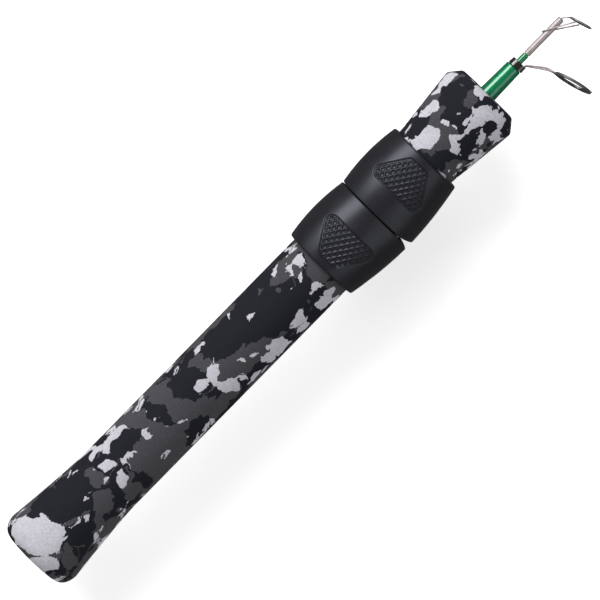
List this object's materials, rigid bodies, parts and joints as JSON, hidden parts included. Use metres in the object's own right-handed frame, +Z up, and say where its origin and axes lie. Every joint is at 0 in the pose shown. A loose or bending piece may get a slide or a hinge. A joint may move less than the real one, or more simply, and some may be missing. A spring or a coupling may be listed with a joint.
{
  "type": "telescopic ice fishing rod",
  "caption": "Short telescopic fishing rod, closed, with a foam grip, sliding reel rings, a wire line guide and a wire tip-top.",
  "frame": {"origin": "centre of the butt cap's outer face, on the rod's axis", "axes": "+X along the rod's axis from butt to tip, -Y towards the side where the reel and the line guides hang, +Z up as the closed rod lies"},
  "size_m": [0.27, 0.0414, 0.0324],
  "materials": {
    "camo_foam": "closed-cell EVA foam, ground smooth, in a camouflage of black, dark grey and light grey",
    "glass_fibre": "plain glass-fibre tube",
    "nylon": "natural nylon",
    "black_plastic": "satin moulded",
    "black_rubber": "matte",
    "green_lacquer": "glossy metallic lacquer on glass fibre",
    "black_lacquer": "thread binding under clear varnish",
    "steel": "polished stainless wire and tube",
    "ring_ceramic": "polished dark ceramic"
  },
  "bodies": {
    "handle": {"grip_foam": "camo_foam", "core_tube": "glass_fibre", "mouth_bush": "nylon", "butt_sleeve": "nylon"},
    "butt_gasket": {"butt_gasket": "black_rubber"},
    "butt_cap": {"butt_cap": "black_plastic", "butt_cushion": "black_rubber"},
    "front_ring": {"front_reel_ring": "black_plastic"},
    "rear_ring": {"rear_reel_ring": "black_plastic"},
    "outer_collar": {"outer_butt_collar": "black_plastic"},
    "outer_section": {"outer_tube": "green_lacquer", "guide_binding": "black_lacquer", "guide_frame": "steel", "guide_insert": "ring_ceramic"},
    "tip_collar": {"tip_butt_collar": "black_plastic"},
    "tip_section": {"tip_rod": "green_lacquer", "tip_top_tube": "steel", "tip_top_hoop": "steel", "tip_top_brace": "steel", "tip_top_insert": "ring_ceramic"}
  },
  "joints": [
    {"name": "front_ring_slide", "type": "slide", "parent": "handle", "child": "front_ring", "axis": [1, 0, 0], "range_m": [-0.046, 0]},
    {"name": "rear_ring_slide", "type": "slide", "parent": "front_ring", "child": "rear_ring", "axis": [1, 0, 0], "range_m": [-0.06, 0]},
    {"name": "outer_section_slide", "type": "slide", "parent": "handle", "child": "outer_collar", "axis": [1, 0, 0], "range_m": [0, 0.1928]},
    {"name": "outer_section_turn", "type": "hinge", "parent": "outer_collar", "child": "outer_section", "pos_m": [0.018, 0, 0], "axis": [1, 0, 0], "continuous": true},
    {"name": "tip_section_slide", "type": "slide", "parent": "outer_section", "child": "tip_collar", "axis": [1, 0, 0], "range_m": [0, 0.2145]},
    {"name": "tip_section_turn", "type": "hinge", "parent": "tip_collar", "child": "tip_section", "pos_m": [0.017, 0, 0], "axis": [1, 0, 0], "continuous": true},
    {"name": "butt_cap_slide", "type": "slide", "parent": "handle", "child": "butt_gasket", "axis": [-1, 0, 0], "range_m": [0, 0.006]},
    {"name": "butt_cap_turn", "type": "hinge", "parent": "butt_gasket", "child": "butt_cap", "pos_m": [0, 0, 0], "axis": [-1, 0, 0], "range_deg": [0, 1440]}
  ],
  "couplings": [
    {"joint": "butt_cap_turn", "follows": "butt_cap_slide", "rad_per_m": 4188.8}
  ]
}
